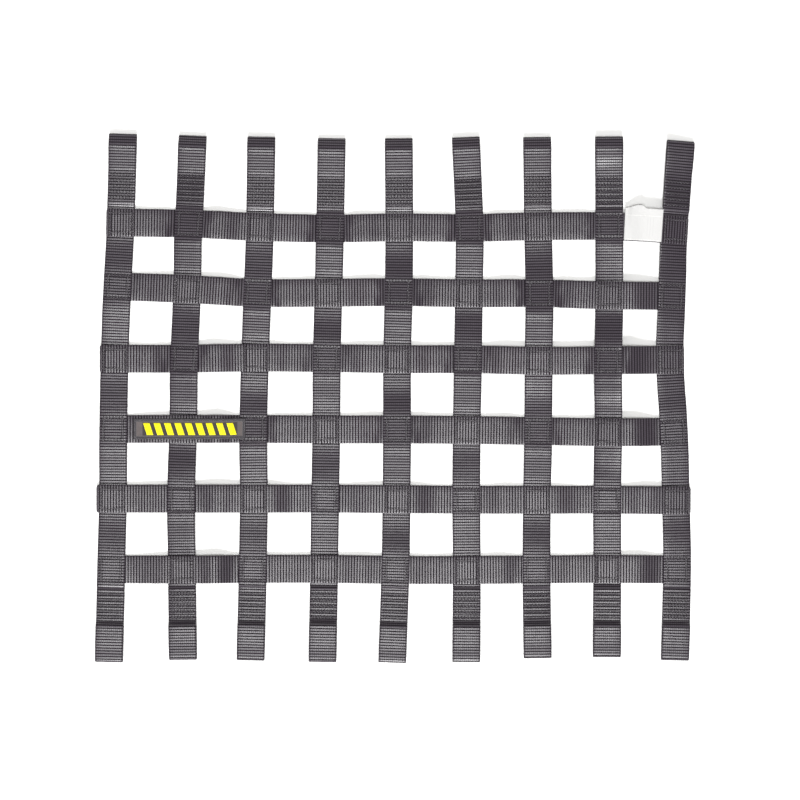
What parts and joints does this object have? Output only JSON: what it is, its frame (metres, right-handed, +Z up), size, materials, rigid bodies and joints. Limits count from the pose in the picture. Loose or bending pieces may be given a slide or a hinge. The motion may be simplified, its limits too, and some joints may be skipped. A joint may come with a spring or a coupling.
{
  "type": "window net",
  "caption": "Flat net of dark webbing straps, woven and sewn at their crossings, with sewn rod loops along two opposite edges, made to close a vehicle's side window opening.",
  "frame": {"origin": "middle of the bounding box in plan, on the surface on which the net lies", "axes": "+X along the across straps, from the badge's side to the label's side; +Y along the down straps, towards the label's row of loops; +Z up from the surface"},
  "size_m": [0.5504, 0.4862, 0.0135],
  "materials": {
    "webbing": "ribbed charcoal webbing",
    "badge_cloth": "woven black badge with plain yellow bars",
    "label_cloth": "matte white ribbon"
  },
  "bodies": {
    "root": {"strap_down_1": "webbing", "strap_down_2": "webbing", "strap_down_3": "webbing", "strap_down_4": "webbing", "strap_down_5": "webbing", "strap_down_6": "webbing", "strap_down_7": "webbing", "strap_down_8": "webbing", "strap_down_9": "webbing", "strap_across_1": "webbing", "strap_across_2": "webbing", "strap_across_3": "webbing", "strap_across_4": "webbing", "strap_across_5": "webbing", "strap_across_6": "webbing", "badge": "badge_cloth", "label": "label_cloth"}
  },
  "joints": []
}
